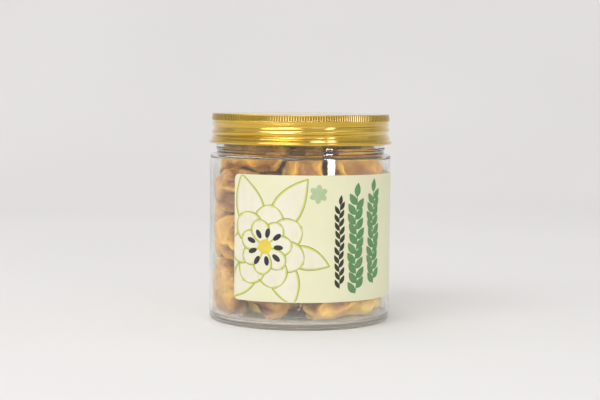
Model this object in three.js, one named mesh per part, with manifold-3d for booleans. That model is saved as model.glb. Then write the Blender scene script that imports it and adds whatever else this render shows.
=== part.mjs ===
// A clear screw jar packed with soft dried fruit: PET jar, gold aluminium lid with its foam liner,
// a wrap-round label, and the pieces of fruit inside.
// Millimetres, +Z up. The origin is the middle of the base and the front of the label faces -Y.
// Angles go round the jar from the front towards +X, so a right-hand thread climbs with them.

import * as THREE from 'three';
import { mergeVertices } from 'three/addons/utils/BufferGeometryUtils.js';
import Module from 'manifold-3d';

const wasm = await Module();
wasm.setup();

const DEGREE = Math.PI / 180;
const TURN = 2 * Math.PI;

// Whole jar
const TOTAL_HEIGHT = 97.5;
const ROUND_STEPS = 48;

// Body
const BODY_RADIUS = 42.5;
const WALL = 0.9;
const HEEL_RADIUS = 2.5;
const STANDING_RING_INNER = 35.5;
const PUSH_UP = 2.4;
const PUSH_UP_STEP = 0.6;
const FLOOR_HEIGHT = 3.9;
const FLOOR_RIM_HEIGHT = 2.7;
const SHOULDER_TOP = 78.6;
const SHOULDER_RADIUS = 1.6;

// Neck
const NECK_RADIUS = 39.4;
const THREADED_RADIUS = 39.6;
const NECK_BORE = 37.8;
const NECK_BEAD_RADIUS = 39.95;
const NECK_BEAD_HEIGHT = 81.2;
const RIM_CHAMFER = 0.45;

// One-turn screw finish, on the neck and in the lid
const PITCH = 4.23;
const THREAD_FRONT_HEIGHT = 89.8;
const THREAD_CREST = 41.4;
const THREAD_ROOT = 39.1;
const THREAD_ROOT_HALF = 1.35;
const THREAD_CREST_HALF = 0.35;
const THREAD_START = -150;
const THREAD_END = 210;
const THREAD_FADE = 22;

// Lid
const SHEET = 0.35;
const LID_BOTTOM = 83.4;
const LID_CURL_RADIUS = 43.35;
const LID_SKIRT_RADIUS = 41.1;
const LID_RING_RADIUS = 42.3;
const LID_RING_TOP = 86.8;
const LID_GRIP_ROOT = 41.65;
const LID_GRIP_CREST = 42.0;
const LID_GRIP_BOTTOM = 94.1;
const LID_GRIP_TOP = 97.1;
const LID_GRIP_FLUTES = 96;
const LID_BEAD_CREST = 42.15;
const LID_BEAD_START = -200;
const LID_GROOVE_START = -420;
const LID_BEAD_END = 300;
const LID_BEAD_FADE = 50;

// Foam liner
const LINER_RADIUS = 40.8;
const LINER_THICKNESS = 0.9;
const LINER_GAP = 0.1;

// Label
const LABEL_GAP = 0.05;
const LABEL_THICKNESS = 0.3;
const LABEL_BOTTOM = 13.1;
const LABEL_TOP = 70.4;
const LABEL_START = -44;
const LABEL_END = 250;
const LABEL_CORNER = 2.5;

// Fruit
const FRUIT_COUNT = 32;
const FRUIT_SEED = 7;
const FRUIT_LENGTH = [32, 46];
const FRUIT_WIDTH = [21, 30];
const FRUIT_THICKNESS = [11, 15.5];
const FRUIT_BEND = 0.018;
const FRUIT_SQUASH = 0.8;
const FRUIT_WALL_GAP = 0.45;
const FRUIT_GAP = 1.4;
const FRUIT_SKIN_BLEND = 1.5;
const FRUIT_SKIN_SWELL = 2.8;
const FRUIT_NEAR = 60;
const FRUIT_SWING_INERTIA = 110;
const FRUIT_HEAP_TOP = 91;
const SETTLE_STEPS = 700;
const SETTLE_DROP = 0.12;
const SPREAD_STEPS = 200;

// Heights that follow from the lid's stack
const LID_INSIDE_TOP = TOTAL_HEIGHT - SHEET;
const LINER_TOP = LID_INSIDE_TOP - LINER_GAP;
const LINER_BOTTOM = LINER_TOP - LINER_THICKNESS;
const RIM_TOP = LINER_BOTTOM - LINER_GAP;

const BORE_RADIUS = BODY_RADIUS - WALL;

// Materials, one for each finish
const clearPlastic = () => new THREE.MeshStandardMaterial({
  color: 0xe4e2da, roughness: 0.08, metalness: 0, transparent: true, opacity: 0.35,
});
const goldAluminium = () => new THREE.MeshStandardMaterial({
  color: 0xd2aa46, roughness: 0.28, metalness: 1,
});
const whiteFoam = () => new THREE.MeshStandardMaterial({
  color: 0xf2f1ec, roughness: 0.85, metalness: 0,
});
const labelPaper = () => new THREE.MeshStandardMaterial({
  color: 0xe5e2bf, roughness: 0.45, metalness: 0,
});
const driedFruit = (shade) => new THREE.MeshStandardMaterial({
  color: new THREE.Color().setHSL(0.09 + 0.02 * shade, 0.5, 0.48 + 0.14 * shade),
  roughness: 0.4,
  metalness: 0,
});

// Closed geometry with shared vertices and no sliver triangles on the axis
function shareVertices(geometry) {
  geometry.deleteAttribute('normal');
  geometry.deleteAttribute('uv');
  const shared = mergeVertices(geometry, 1e-3);
  const corners = shared.index.array;
  const kept = [];
  for (let i = 0; i < corners.length; i += 3) {
    const [a, b, c] = [corners[i], corners[i + 1], corners[i + 2]];
    if (a !== b && b !== c && c !== a) {
      kept.push(a, b, c);
    }
  }
  shared.setIndex(kept);
  return shared;
}

function toSolid(geometry) {
  const shared = shareVertices(geometry);
  const vertProperties = new Float32Array(shared.attributes.position.array);
  const triVerts = new Uint32Array(shared.index.array);
  return new wasm.Manifold(new wasm.Mesh({ numProp: 3, vertProperties, triVerts }));
}

function toGeometry(solid) {
  const mesh = solid.getMesh();
  const geometry = new THREE.BufferGeometry();
  geometry.setAttribute('position', new THREE.BufferAttribute(mesh.vertProperties, 3));
  geometry.setIndex(new THREE.BufferAttribute(mesh.triVerts, 1));
  geometry.computeVertexNormals();
  return geometry;
}

// A profile of [radius, height] points turned about +Z, its outer side running upwards
function revolve(profile) {
  const points = profile.map(([radius, height]) => new THREE.Vector2(radius, height));
  const geometry = new THREE.LatheGeometry(points, ROUND_STEPS);
  geometry.rotateX(Math.PI / 2);
  return shareVertices(geometry);
}

// Points on a quarter round from one angle to another, in degrees from the +radius direction
function arc(centreRadius, centreHeight, radius, fromDegrees, toDegrees, steps) {
  const points = [];
  for (let i = 0; i <= steps; i += 1) {
    const angle = (fromDegrees + (toDegrees - fromDegrees) * i / steps) * DEGREE;
    points.push([centreRadius + radius * Math.cos(angle), centreHeight + radius * Math.sin(angle)]);
  }
  return points;
}

// A closed section of [radius, height] points carried round the jar through a list of angles
function sweepRound(angles, sectionAt) {
  const positions = [];
  const corners = [];
  const sections = angles.map(sectionAt);
  const count = sections[0].length;
  sections.forEach((section, i) => {
    const angle = angles[i] * DEGREE;
    for (const [radius, height] of section) {
      positions.push(radius * Math.sin(angle), -radius * Math.cos(angle), height);
    }
  });
  for (let i = 0; i < angles.length - 1; i += 1) {
    for (let k = 0; k < count; k += 1) {
      const next = (k + 1) % count;
      const here = i * count;
      const there = here + count;
      corners.push(here + k, there + k, here + next);
      corners.push(there + next, here + next, there + k);
    }
  }
  const last = (angles.length - 1) * count;
  for (let k = 1; k < count - 1; k += 1) {
    corners.push(0, k, k + 1);
    corners.push(last, last + k + 1, last + k);
  }
  const geometry = new THREE.BufferGeometry();
  geometry.setAttribute('position', new THREE.Float32BufferAttribute(positions, 3));
  geometry.setIndex(corners);
  return geometry;
}

// Angles between two ends that keep to the facets of the turned pieces
function facetAngles(start, end) {
  const step = 360 / ROUND_STEPS;
  const angles = [start];
  for (let k = Math.floor(start / step) + 1; k * step < end - 0.01; k += 1) {
    angles.push(k * step);
  }
  angles.push(end);
  return angles;
}

// A four-sided thread form that climbs the helix and fades out at both ends
function helicalBand({ start, end, fade, root, crest, sunk, rootHalf, crestHalf }) {
  return sweepRound(facetAngles(start, end), (angle) => {
    const middle = THREAD_FRONT_HEIGHT + PITCH * angle / 360;
    const fromEnd = Math.min(angle - start, end - angle) / fade;
    const full = THREE.MathUtils.smoothstep(fromEnd, 0, 1);
    const outer = sunk + (crest - sunk) * full;
    return [
      [root, middle - rootHalf],
      [outer, middle - crestHalf],
      [outer, middle + crestHalf],
      [root, middle + rootHalf],
    ];
  });
}

// Clear jar: stepped base, straight wall, small round shoulder, beaded neck with its thread
function makeJar() {
  const body = revolve([
    [0, PUSH_UP],
    [20, PUSH_UP],
    [21.2, PUSH_UP - PUSH_UP_STEP],
    [27.5, PUSH_UP - PUSH_UP_STEP],
    [28.7, PUSH_UP - 2 * PUSH_UP_STEP],
    [STANDING_RING_INNER - 1.2, PUSH_UP - 2 * PUSH_UP_STEP],
    [STANDING_RING_INNER, 0],
    ...arc(BODY_RADIUS - HEEL_RADIUS, HEEL_RADIUS, HEEL_RADIUS, -90, 0, 3),
    ...arc(BODY_RADIUS - SHOULDER_RADIUS, SHOULDER_TOP - SHOULDER_RADIUS, SHOULDER_RADIUS, 0, 90, 3),
    [NECK_RADIUS, SHOULDER_TOP + 0.5],
    [NECK_RADIUS, NECK_BEAD_HEIGHT - 0.6],
    [NECK_BEAD_RADIUS, NECK_BEAD_HEIGHT - 0.25],
    [NECK_BEAD_RADIUS, NECK_BEAD_HEIGHT + 0.25],
    [THREADED_RADIUS, NECK_BEAD_HEIGHT + 0.6],
    [THREADED_RADIUS, RIM_TOP - RIM_CHAMFER],
    [THREADED_RADIUS - RIM_CHAMFER, RIM_TOP],
    [NECK_BORE + RIM_CHAMFER, RIM_TOP],
    [NECK_BORE, RIM_TOP - RIM_CHAMFER],
    [NECK_BORE, SHOULDER_TOP + 1.4],
    [NECK_BORE + 0.7, SHOULDER_TOP - 0.1],
    [BORE_RADIUS - 1.1, SHOULDER_TOP - WALL],
    [BORE_RADIUS, SHOULDER_TOP - WALL - 1.1],
    ...arc(BORE_RADIUS - HEEL_RADIUS, FLOOR_RIM_HEIGHT + HEEL_RADIUS, HEEL_RADIUS, 0, -90, 3),
    [28.7, FLOOR_RIM_HEIGHT + 0.6],
    [20, FLOOR_HEIGHT],
    [0, FLOOR_HEIGHT],
  ]);
  const thread = helicalBand({
    start: THREAD_START,
    end: THREAD_END,
    fade: THREAD_FADE,
    root: THREAD_ROOT,
    sunk: THREAD_ROOT + 0.2,
    crest: THREAD_CREST,
    rootHalf: THREAD_ROOT_HALF,
    crestHalf: THREAD_CREST_HALF,
  });
  return toGeometry(toSolid(body).add(toSolid(thread)));
}

// Ring of grip flutes round the top of the lid
function makeGripRing() {
  const outline = new THREE.Shape();
  const points = 2 * LID_GRIP_FLUTES;
  for (let i = 0; i < points; i += 1) {
    const radius = i % 2 === 0 ? LID_GRIP_CREST : LID_GRIP_ROOT + 0.1;
    const angle = TURN * i / points;
    const place = [radius * Math.cos(angle), radius * Math.sin(angle)];
    if (i === 0) {
      outline.moveTo(...place);
    } else {
      outline.lineTo(...place);
    }
  }
  outline.closePath();
  const hole = new THREE.Path();
  hole.absarc(0, 0, LID_GRIP_ROOT - SHEET / 2, 0, TURN, true);
  outline.holes.push(hole);
  const ring = new THREE.ExtrudeGeometry(outline, {
    depth: LID_GRIP_TOP - LID_GRIP_BOTTOM,
    bevelEnabled: false,
    curveSegments: ROUND_STEPS / 2,
  });
  ring.translate(0, 0, LID_GRIP_BOTTOM);
  return ring;
}

// Thin pressed lid: flat top, fluted grip, rolled thread, lower ring and turned-out curl
function makeLid() {
  const inside = LID_SKIRT_RADIUS - 0.4;
  const ringInside = LID_RING_RADIUS - 0.5;
  const shell = revolve([
    [0, LID_INSIDE_TOP],
    [40.9, LID_INSIDE_TOP],
    [LID_GRIP_ROOT - SHEET, LID_INSIDE_TOP - 0.5],
    [LID_GRIP_ROOT - SHEET, LID_GRIP_BOTTOM - 0.3],
    [inside, LID_GRIP_BOTTOM - 1.4],
    [inside, LID_RING_TOP + 0.2],
    [ringInside, LID_RING_TOP - 0.7],
    [ringInside, LID_BOTTOM + 1.5],
    [ringInside + 0.2, LID_BOTTOM + 0.5],
    [LID_CURL_RADIUS - 1.0, LID_BOTTOM],
    [LID_CURL_RADIUS - 0.6, LID_BOTTOM],
    [LID_CURL_RADIUS - 0.15, LID_BOTTOM + 0.35],
    [LID_CURL_RADIUS, LID_BOTTOM + 0.8],
    [LID_CURL_RADIUS - 0.15, LID_BOTTOM + 1.15],
    [LID_RING_RADIUS + 0.45, LID_BOTTOM + 1.4],
    [LID_RING_RADIUS - 0.05, LID_BOTTOM + 1.55],
    [LID_RING_RADIUS, LID_BOTTOM + 2.0],
    [LID_RING_RADIUS - 0.15, LID_RING_TOP - 0.5],
    [LID_SKIRT_RADIUS, LID_RING_TOP],
    [LID_SKIRT_RADIUS, LID_GRIP_BOTTOM - 1.4],
    [LID_GRIP_ROOT, LID_GRIP_BOTTOM - 0.9],
    [LID_GRIP_ROOT, LID_GRIP_TOP],
    [LID_GRIP_ROOT - 0.2, TOTAL_HEIGHT - 0.2],
    [LID_GRIP_ROOT - 0.65, TOTAL_HEIGHT],
    [0, TOTAL_HEIGHT],
  ]);
  const bead = helicalBand({
    start: LID_BEAD_START,
    end: LID_BEAD_END,
    fade: LID_BEAD_FADE,
    root: LID_SKIRT_RADIUS - 0.2,
    sunk: LID_SKIRT_RADIUS - 0.1,
    crest: LID_BEAD_CREST,
    rootHalf: 1.85,
    crestHalf: 0.65,
  });
  const groove = helicalBand({
    start: LID_GROOVE_START,
    end: LID_BEAD_END,
    fade: LID_BEAD_FADE,
    root: inside - 0.2,
    sunk: inside - 0.1,
    crest: LID_BEAD_CREST - 0.4,
    rootHalf: 1.55,
    crestHalf: 0.5,
  });
  const outside = toSolid(shell).add(toSolid(bead)).add(toSolid(makeGripRing()));
  return toGeometry(outside.subtract(toSolid(groove)));
}

function makeLiner() {
  return revolve([
    [0, LINER_BOTTOM],
    [LINER_RADIUS, LINER_BOTTOM],
    [LINER_RADIUS, LINER_TOP],
    [0, LINER_TOP],
  ]);
}

// Label: a thin sheet round the wall, its four corners rounded in the flat
function makeLabel() {
  const inner = BODY_RADIUS + LABEL_GAP;
  const outer = inner + LABEL_THICKNESS;
  const cornerSweep = LABEL_CORNER / outer / DEGREE;
  const cornerSteps = 4;
  const angles = [];
  for (let i = 0; i < cornerSteps; i += 1) {
    angles.push(LABEL_START + cornerSweep * (1 - Math.cos(i / cornerSteps * Math.PI / 2)));
  }
  angles.push(...facetAngles(LABEL_START + cornerSweep, LABEL_END - cornerSweep));
  for (let i = cornerSteps - 1; i >= 0; i -= 1) {
    angles.push(LABEL_END - cornerSweep * (1 - Math.cos(i / cornerSteps * Math.PI / 2)));
  }
  return sweepRound(angles, (angle) => {
    const fromEnd = Math.min(angle - LABEL_START, LABEL_END - angle) / cornerSweep;
    const across = 1 - Math.min(1, Math.max(0, fromEnd));
    const cut = LABEL_CORNER * (1 - Math.sqrt(1 - across * across));
    return [
      [inner, LABEL_BOTTOM + cut],
      [outer, LABEL_BOTTOM + cut],
      [outer, LABEL_TOP - cut],
      [inner, LABEL_TOP - cut],
    ];
  });
}

// Repeatable random numbers from 0 to 1
function makeRandom(seed) {
  let state = seed;
  return () => {
    state = (state * 1664525 + 1013904223) % 4294967296;
    return state / 4294967296;
  };
}

// One piece of fruit as a bent slab of balls, before it settles
function draftPiece(random, index) {
  const between = (low, high) => low + (high - low) * random();
  const length = between(FRUIT_LENGTH[0], FRUIT_LENGTH[1]);
  const width = between(FRUIT_WIDTH[0], FRUIT_WIDTH[1]);
  const thickness = between(FRUIT_THICKNESS[0], FRUIT_THICKNESS[1]);
  const bend = between(-FRUIT_BEND, FRUIT_BEND);
  const skew = between(-0.25, 0.25);
  const waist = between(0.3, 0.7);
  const balls = [];
  const addBall = (along, across) => {
    const radius = thickness / 2 * between(0.84, 1.1);
    const lift = bend * (along * along + 0.6 * across * across) + between(-0.9, 0.9);
    balls.push({ offset: new THREE.Vector3(along, across + skew * along, lift), radius });
  };
  const rows = 4;
  for (let row = 0; row < rows; row += 1) {
    const along = (row / (rows - 1) - 0.5) * (length - thickness);
    const taper = 1 - 0.4 * Math.abs(row / (rows - 1) - waist);
    const side = Math.max(0.5, (width * taper - thickness) / 2);
    addBall(along, -side);
    addBall(along, side);
    if (row < rows - 1) {
      addBall(along + (length - thickness) / (rows - 1) / 2, 0);
    }
  }
  const middle = new THREE.Vector3();
  balls.forEach((ball) => middle.addScaledVector(ball.offset, 1 / balls.length));
  balls.forEach((ball) => ball.offset.sub(middle));

  const outerRing = index % 3 !== 0;
  const angle = TURN * (index * 0.381966 + 0.1 * random());
  const reach = outerRing ? between(29, 33) : between(0, 14);
  const place = new THREE.Vector3(
    reach * Math.sin(angle),
    -reach * Math.cos(angle),
    14 + 96 * (index + 0.5) / FRUIT_COUNT,
  );
  const roll = new THREE.Quaternion().setFromAxisAngle(new THREE.Vector3(0, 0, 1), TURN * random());
  const facing = new THREE.Quaternion();
  if (outerRing) {
    const outward = new THREE.Vector3(Math.sin(angle), -Math.cos(angle), between(-0.35, 0.35));
    facing.setFromUnitVectors(new THREE.Vector3(0, 0, -Math.sign(bend || 1)), outward.normalize());
  } else {
    const tilt = new THREE.Vector3(between(-1, 1), between(-1, 1), between(-1, 1)).normalize();
    facing.setFromAxisAngle(tilt, Math.PI * random());
  }
  return { balls, place, turn: facing.multiply(roll), shade: random() };
}

function placeBalls(piece) {
  for (const ball of piece.balls) {
    ball.arm = ball.offset.clone().applyQuaternion(piece.turn);
    ball.centre = ball.arm.clone().add(piece.place);
  }
}

// Room for the fruit at a height, drawn in below the shoulder so that no piece catches the neck
function boreAt(height) {
  const intoNeck = THREE.MathUtils.smoothstep(height, SHOULDER_TOP - 10, SHOULDER_TOP - 1);
  return BORE_RADIUS + (NECK_BORE - BORE_RADIUS) * intoNeck - FRUIT_WALL_GAP;
}

// The pushes on one ball from the wall, the floor and the underside of the lid
function wallPushes(ball) {
  const pushes = [];
  const reach = Math.hypot(ball.centre.x, ball.centre.y);
  const tooFar = reach + ball.radius - FRUIT_SQUASH - boreAt(ball.centre.z);
  if (tooFar > 0) {
    const inward = new THREE.Vector3(-ball.centre.x, -ball.centre.y, 0);
    pushes.push(inward.multiplyScalar(tooFar / reach));
  }
  const tooLow = FLOOR_HEIGHT + FRUIT_WALL_GAP + ball.radius - ball.centre.z;
  if (tooLow > 0) {
    pushes.push(new THREE.Vector3(0, 0, tooLow));
  }
  const tooHigh = ball.centre.z + ball.radius - FRUIT_HEAP_TOP;
  if (tooHigh > 0) {
    pushes.push(new THREE.Vector3(0, 0, -tooHigh));
  }
  return pushes;
}

function pushPiece(piece, arm, push, share) {
  piece.shift.addScaledVector(push, share);
  const swing = new THREE.Vector3().crossVectors(arm, push);
  piece.swing.addScaledVector(swing, share / FRUIT_SWING_INERTIA);
  piece.contacts += 1;
}

// One step of settling: gravity, then contacts shared between the pieces that touch
function settleOnce(pieces, drop) {
  for (const piece of pieces) {
    piece.place.z -= drop;
    piece.shift = new THREE.Vector3();
    piece.swing = new THREE.Vector3();
    piece.contacts = 0;
    placeBalls(piece);
  }
  const apart = new THREE.Vector3();
  for (let i = 0; i < pieces.length; i += 1) {
    for (let j = i + 1; j < pieces.length; j += 1) {
      if (pieces[i].place.distanceTo(pieces[j].place) > FRUIT_NEAR) {
        continue;
      }
      for (const one of pieces[i].balls) {
        for (const other of pieces[j].balls) {
          apart.subVectors(one.centre, other.centre);
          const distance = apart.length();
          const depth = one.radius + other.radius - distance;
          if (depth > 0 && distance > 1e-6) {
            const push = apart.clone().multiplyScalar(depth / distance);
            pushPiece(pieces[i], one.arm, push, 0.5);
            pushPiece(pieces[j], other.arm, push, -0.5);
          }
        }
      }
    }
    for (const ball of pieces[i].balls) {
      wallPushes(ball).forEach((push) => pushPiece(pieces[i], ball.arm, push, 1));
    }
  }
  for (const piece of pieces) {
    const ease = 1 / Math.max(2, piece.contacts * 0.45);
    piece.place.addScaledVector(piece.shift, ease);
    const swing = piece.swing.multiplyScalar(ease);
    const amount = swing.length();
    if (amount > 1e-9) {
      const turn = new THREE.Quaternion().setFromAxisAngle(swing.normalize(), Math.min(amount, 0.08));
      piece.turn.premultiply(turn).normalize();
    }
  }
}

// Distance from a point to a piece's rounded skin, negative inside
function skinDistance(piece, point) {
  let sum = 0;
  for (const ball of piece.balls) {
    sum += Math.exp((ball.radius - point.distanceTo(ball.centre)) / FRUIT_SKIN_BLEND);
  }
  return -FRUIT_SKIN_SWELL - FRUIT_SKIN_BLEND * Math.log(sum);
}

// The same skin, pressed flat where it meets a neighbour, the wall or the floor
function pressedDistance(piece, neighbours, point) {
  const own = skinDistance(piece, point);
  let pressed = Math.max(own, Math.hypot(point.x, point.y) - boreAt(point.z));
  pressed = Math.max(pressed, FLOOR_HEIGHT + FRUIT_WALL_GAP - point.z);
  for (const other of neighbours) {
    pressed = Math.max(pressed, (own - skinDistance(other, point) + FRUIT_GAP) / 2);
  }
  return pressed;
}

// The point well inside a pressed piece and near its middle, from which its skin is drawn
function findHeart(piece, neighbours) {
  let best = null;
  let bestScore = Infinity;
  for (const one of piece.balls) {
    for (const other of piece.balls) {
      const point = one.centre.clone().lerp(other.centre, 0.5);
      const score = pressedDistance(piece, neighbours, point) + 0.15 * point.distanceTo(piece.place);
      if (score < bestScore) {
        bestScore = score;
        best = point;
      }
    }
  }
  return best;
}

function makeFruitSkin(piece, pieces) {
  const isNear = (other) => other !== piece && other.place.distanceTo(piece.place) < FRUIT_NEAR;
  const neighbours = pieces.filter(isNear);
  const heart = findHeart(piece, neighbours);
  const ball = new THREE.IcosahedronGeometry(1, 2);
  const positions = ball.attributes.position;
  const direction = new THREE.Vector3();
  const point = new THREE.Vector3();
  const stride = 0.6;
  for (let i = 0; i < positions.count; i += 1) {
    direction.fromBufferAttribute(positions, i).normalize();
    const sample = (reach) => {
      point.copy(heart).addScaledVector(direction, reach);
      return pressedDistance(piece, neighbours, point);
    };
    let far = stride;
    while (sample(far) < 0) {
      far += stride;
    }
    let near = far - stride;
    for (let k = 0; k < 14; k += 1) {
      const middle = (near + far) / 2;
      if (sample(middle) < 0) {
        near = middle;
      } else {
        far = middle;
      }
    }
    positions.setXYZ(i, ...direction.multiplyScalar(near).toArray());
  }
  return { geometry: shareVertices(ball), heart };
}

function makeFruit() {
  const random = makeRandom(FRUIT_SEED);
  const pieces = [];
  for (let i = 0; i < FRUIT_COUNT; i += 1) {
    pieces.push(draftPiece(random, i));
  }
  for (let step = 0; step < SETTLE_STEPS; step += 1) {
    settleOnce(pieces, SETTLE_DROP);
  }
  for (let step = 0; step < SPREAD_STEPS; step += 1) {
    settleOnce(pieces, 0);
  }
  pieces.forEach(placeBalls);
  return pieces;
}

function addMesh(group, name, geometry, material) {
  const mesh = new THREE.Mesh(geometry, material);
  mesh.name = name;
  group.add(mesh);
  return mesh;
}

const jarOfFruit = new THREE.Group();
addMesh(jarOfFruit, 'jar', makeJar(), clearPlastic());
addMesh(jarOfFruit, 'lid', makeLid(), goldAluminium());
addMesh(jarOfFruit, 'lid_liner', makeLiner(), whiteFoam());
addMesh(jarOfFruit, 'label', makeLabel(), labelPaper());

const fruit = makeFruit();
fruit.forEach((piece, i) => {
  const name = `fruit_${String(i + 1).padStart(2, '0')}`;
  const { geometry, heart } = makeFruitSkin(piece, fruit);
  const mesh = addMesh(jarOfFruit, name, geometry, driedFruit(piece.shade));
  mesh.position.copy(heart);
});

export default jarOfFruit;
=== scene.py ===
# %% [markdown]
# # A clear screw jar of soft dried fruit
# The object is a round clear plastic jar with a pressed gold lid, a pale paper
# label round its wall, a foam liner in the lid and thirty-two pieces of soft
# dried fruit. A frame of plain solids already holds every piece at its true
# size and joins the lid to the jar by its screw. This lesson gives each piece
# its fine shape and its finish, and never moves the frame.

# %% Load the frame
import math

import bmesh
import bpy
import numpy as np
from mathutils import Matrix, Vector, noise
from mathutils.bvhtree import BVHTree


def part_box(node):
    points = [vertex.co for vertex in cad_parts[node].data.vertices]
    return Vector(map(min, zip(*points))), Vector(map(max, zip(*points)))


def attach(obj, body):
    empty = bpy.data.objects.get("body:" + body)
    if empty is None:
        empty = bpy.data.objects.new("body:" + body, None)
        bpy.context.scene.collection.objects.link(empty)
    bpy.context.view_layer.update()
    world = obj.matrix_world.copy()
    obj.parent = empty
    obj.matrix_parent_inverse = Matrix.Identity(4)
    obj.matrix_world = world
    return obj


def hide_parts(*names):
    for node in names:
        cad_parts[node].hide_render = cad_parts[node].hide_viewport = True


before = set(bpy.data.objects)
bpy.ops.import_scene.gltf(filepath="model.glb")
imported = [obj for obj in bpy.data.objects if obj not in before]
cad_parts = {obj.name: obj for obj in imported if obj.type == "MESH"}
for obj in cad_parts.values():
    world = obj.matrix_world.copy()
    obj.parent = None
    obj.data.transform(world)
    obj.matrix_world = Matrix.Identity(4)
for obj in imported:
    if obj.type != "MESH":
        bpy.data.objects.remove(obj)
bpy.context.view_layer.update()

MM = 0.001
DEGREE = math.pi / 180

# %% [markdown]
# ## The camera
# A product shot is taken from far away with a long lens, so that the jar's
# sides stay nearly upright. The camera stands a little above the lid, looks
# slightly down and leans by less than a degree. Turning about the camera's own
# line of sight gives that lean, and a product of two turns keeps it readable.

# %% Stand the camera in front of the jar
CAMERA_DISTANCE = 0.760
CAMERA_HEIGHT = 0.1089
CAMERA_LOOKS_DOWN = 3.943
CAMERA_LEAN = 0.58
CAMERA_LENS = 96.5


def stand_camera():
    data = bpy.data.cameras.new("product_camera")
    data.lens = CAMERA_LENS
    data.sensor_width = 36.0
    camera = bpy.data.objects.new("product_camera", data)
    bpy.context.scene.collection.objects.link(camera)
    place = Matrix.Translation((0, -CAMERA_DISTANCE, CAMERA_HEIGHT))
    tilt = Matrix.Rotation((90 - CAMERA_LOOKS_DOWN) * DEGREE, 4, "X")
    lean = Matrix.Rotation(CAMERA_LEAN * DEGREE, 4, "Z")
    camera.matrix_world = place @ tilt @ lean
    bpy.context.scene.camera = camera
    return camera


camera = stand_camera()
print("camera stands at", [round(x, 3) for x in camera.matrix_world.translation])

# %% [markdown]
# ## Meshes from lists
# Nearly every piece here is worked out as points and faces by a short rule.
# One helper turns such lists into an object, shades it smooth and keeps edges
# sharp only where the surface turns by more than a given angle.

# %% A helper for new pieces
def new_piece(name, points, faces, sharp_from=60):
    mesh = bpy.data.meshes.new(name)
    mesh.from_pydata([tuple(p) for p in points], [], [tuple(f) for f in faces])
    mesh.update()
    mesh.shade_smooth()
    mesh.set_sharp_from_angle(angle=sharp_from * DEGREE)
    piece = bpy.data.objects.new(name, mesh)
    bpy.context.scene.collection.objects.link(piece)
    return piece


def report(piece):
    triangles = sum(len(p.vertices) - 2 for p in piece.data.polygons)
    size = [round(x / MM, 1) for x in piece.dimensions]
    print(f"{piece.name}: {triangles} triangles, {size} mm")


# %% [markdown]
# ## The sweep
# A photographer's paper sweep is a floor that curves up into the background
# with no line between them. It is one outline, flat, then a quarter round, then
# upright, carried sideways. It only serves the picture and is no part of the
# object.

# %% Make the paper sweep
SWEEP_FRONT = -1.0
SWEEP_BACK = 1.6
SWEEP_BEND = 0.9
SWEEP_TOP = 3.0
SWEEP_HALF_WIDTH = 3.5


def make_sweep():
    outline = [(SWEEP_FRONT, 0.0)]
    for angle in np.linspace(-90, 0, 24):
        across = SWEEP_BACK - SWEEP_BEND + SWEEP_BEND * math.cos(angle * DEGREE)
        up = SWEEP_BEND + SWEEP_BEND * math.sin(angle * DEGREE)
        outline.append((across, up))
    outline.append((SWEEP_BACK, SWEEP_TOP))
    points = [(x, y, z) for x in (-SWEEP_HALF_WIDTH, SWEEP_HALF_WIDTH) for y, z in outline]
    count = len(outline)
    faces = [(i, i + count, i + count + 1, i + 1) for i in range(count - 1)]
    return new_piece("paper_sweep", points, faces)


paper_sweep = make_sweep()
report(paper_sweep)

# %% [markdown]
# ## Soft studio light
# Shiny gold and clear plastic show their surroundings more than their own
# colour, so most lights are cards placed by where they have to be mirrored.
# Light linking lets each card act on one material alone. Three flat cards, one
# inside the other, give the lid a highlight at the left that fades along it,
# and a small card and a strip lift its flutes and its right side. Gold swallows
# blue light, so these cards are bluish, and their mirror image turns cream. A
# strip at the front right draws the white bar on the bare plastic, and a card
# at the far left brightens the neck. The window softbox throws the soft shadow
# to the right. A fill from the front, unseen in any gloss, and a large light
# overhead open the shadows.

# %% Set up the lights
LIGHT_TARGET = Vector((0, 0, 0.05))
WHITE = (1, 1, 1)
BLUISH = (1.0, 1.0, 2.8)


def softbox(name, azimuth, elevation, distance, size, brightness,
            mirrored_in=None, shape="RECTANGLE", colour=WHITE):
    """A lamp at angles in degrees from the front, towards the right and up.

    With mirrored_in it lights nothing but the gloss of the pieces in that collection."""
    data = bpy.data.lights.new(name, "AREA")
    data.color = colour
    data.shape = shape
    data.size = size[0]
    data.size_y = size[1]
    data.energy = brightness * math.pi * size[0] * size[1]
    light = bpy.data.objects.new(name, data)
    bpy.context.scene.collection.objects.link(light)
    level = distance * math.cos(elevation * DEGREE)
    light.location = LIGHT_TARGET + Vector((
        level * math.sin(azimuth * DEGREE),
        -level * math.cos(azimuth * DEGREE),
        distance * math.sin(elevation * DEGREE),
    ))
    aim = LIGHT_TARGET - light.location
    light.rotation_mode = "QUATERNION"
    light.rotation_quaternion = aim.to_track_quat("-Z", "Y")
    light.visible_camera = False
    light.visible_transmission = False
    if mirrored_in:
        light.visible_diffuse = False
        light.light_linking.receiver_collection = mirrored_in
    return light


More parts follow.
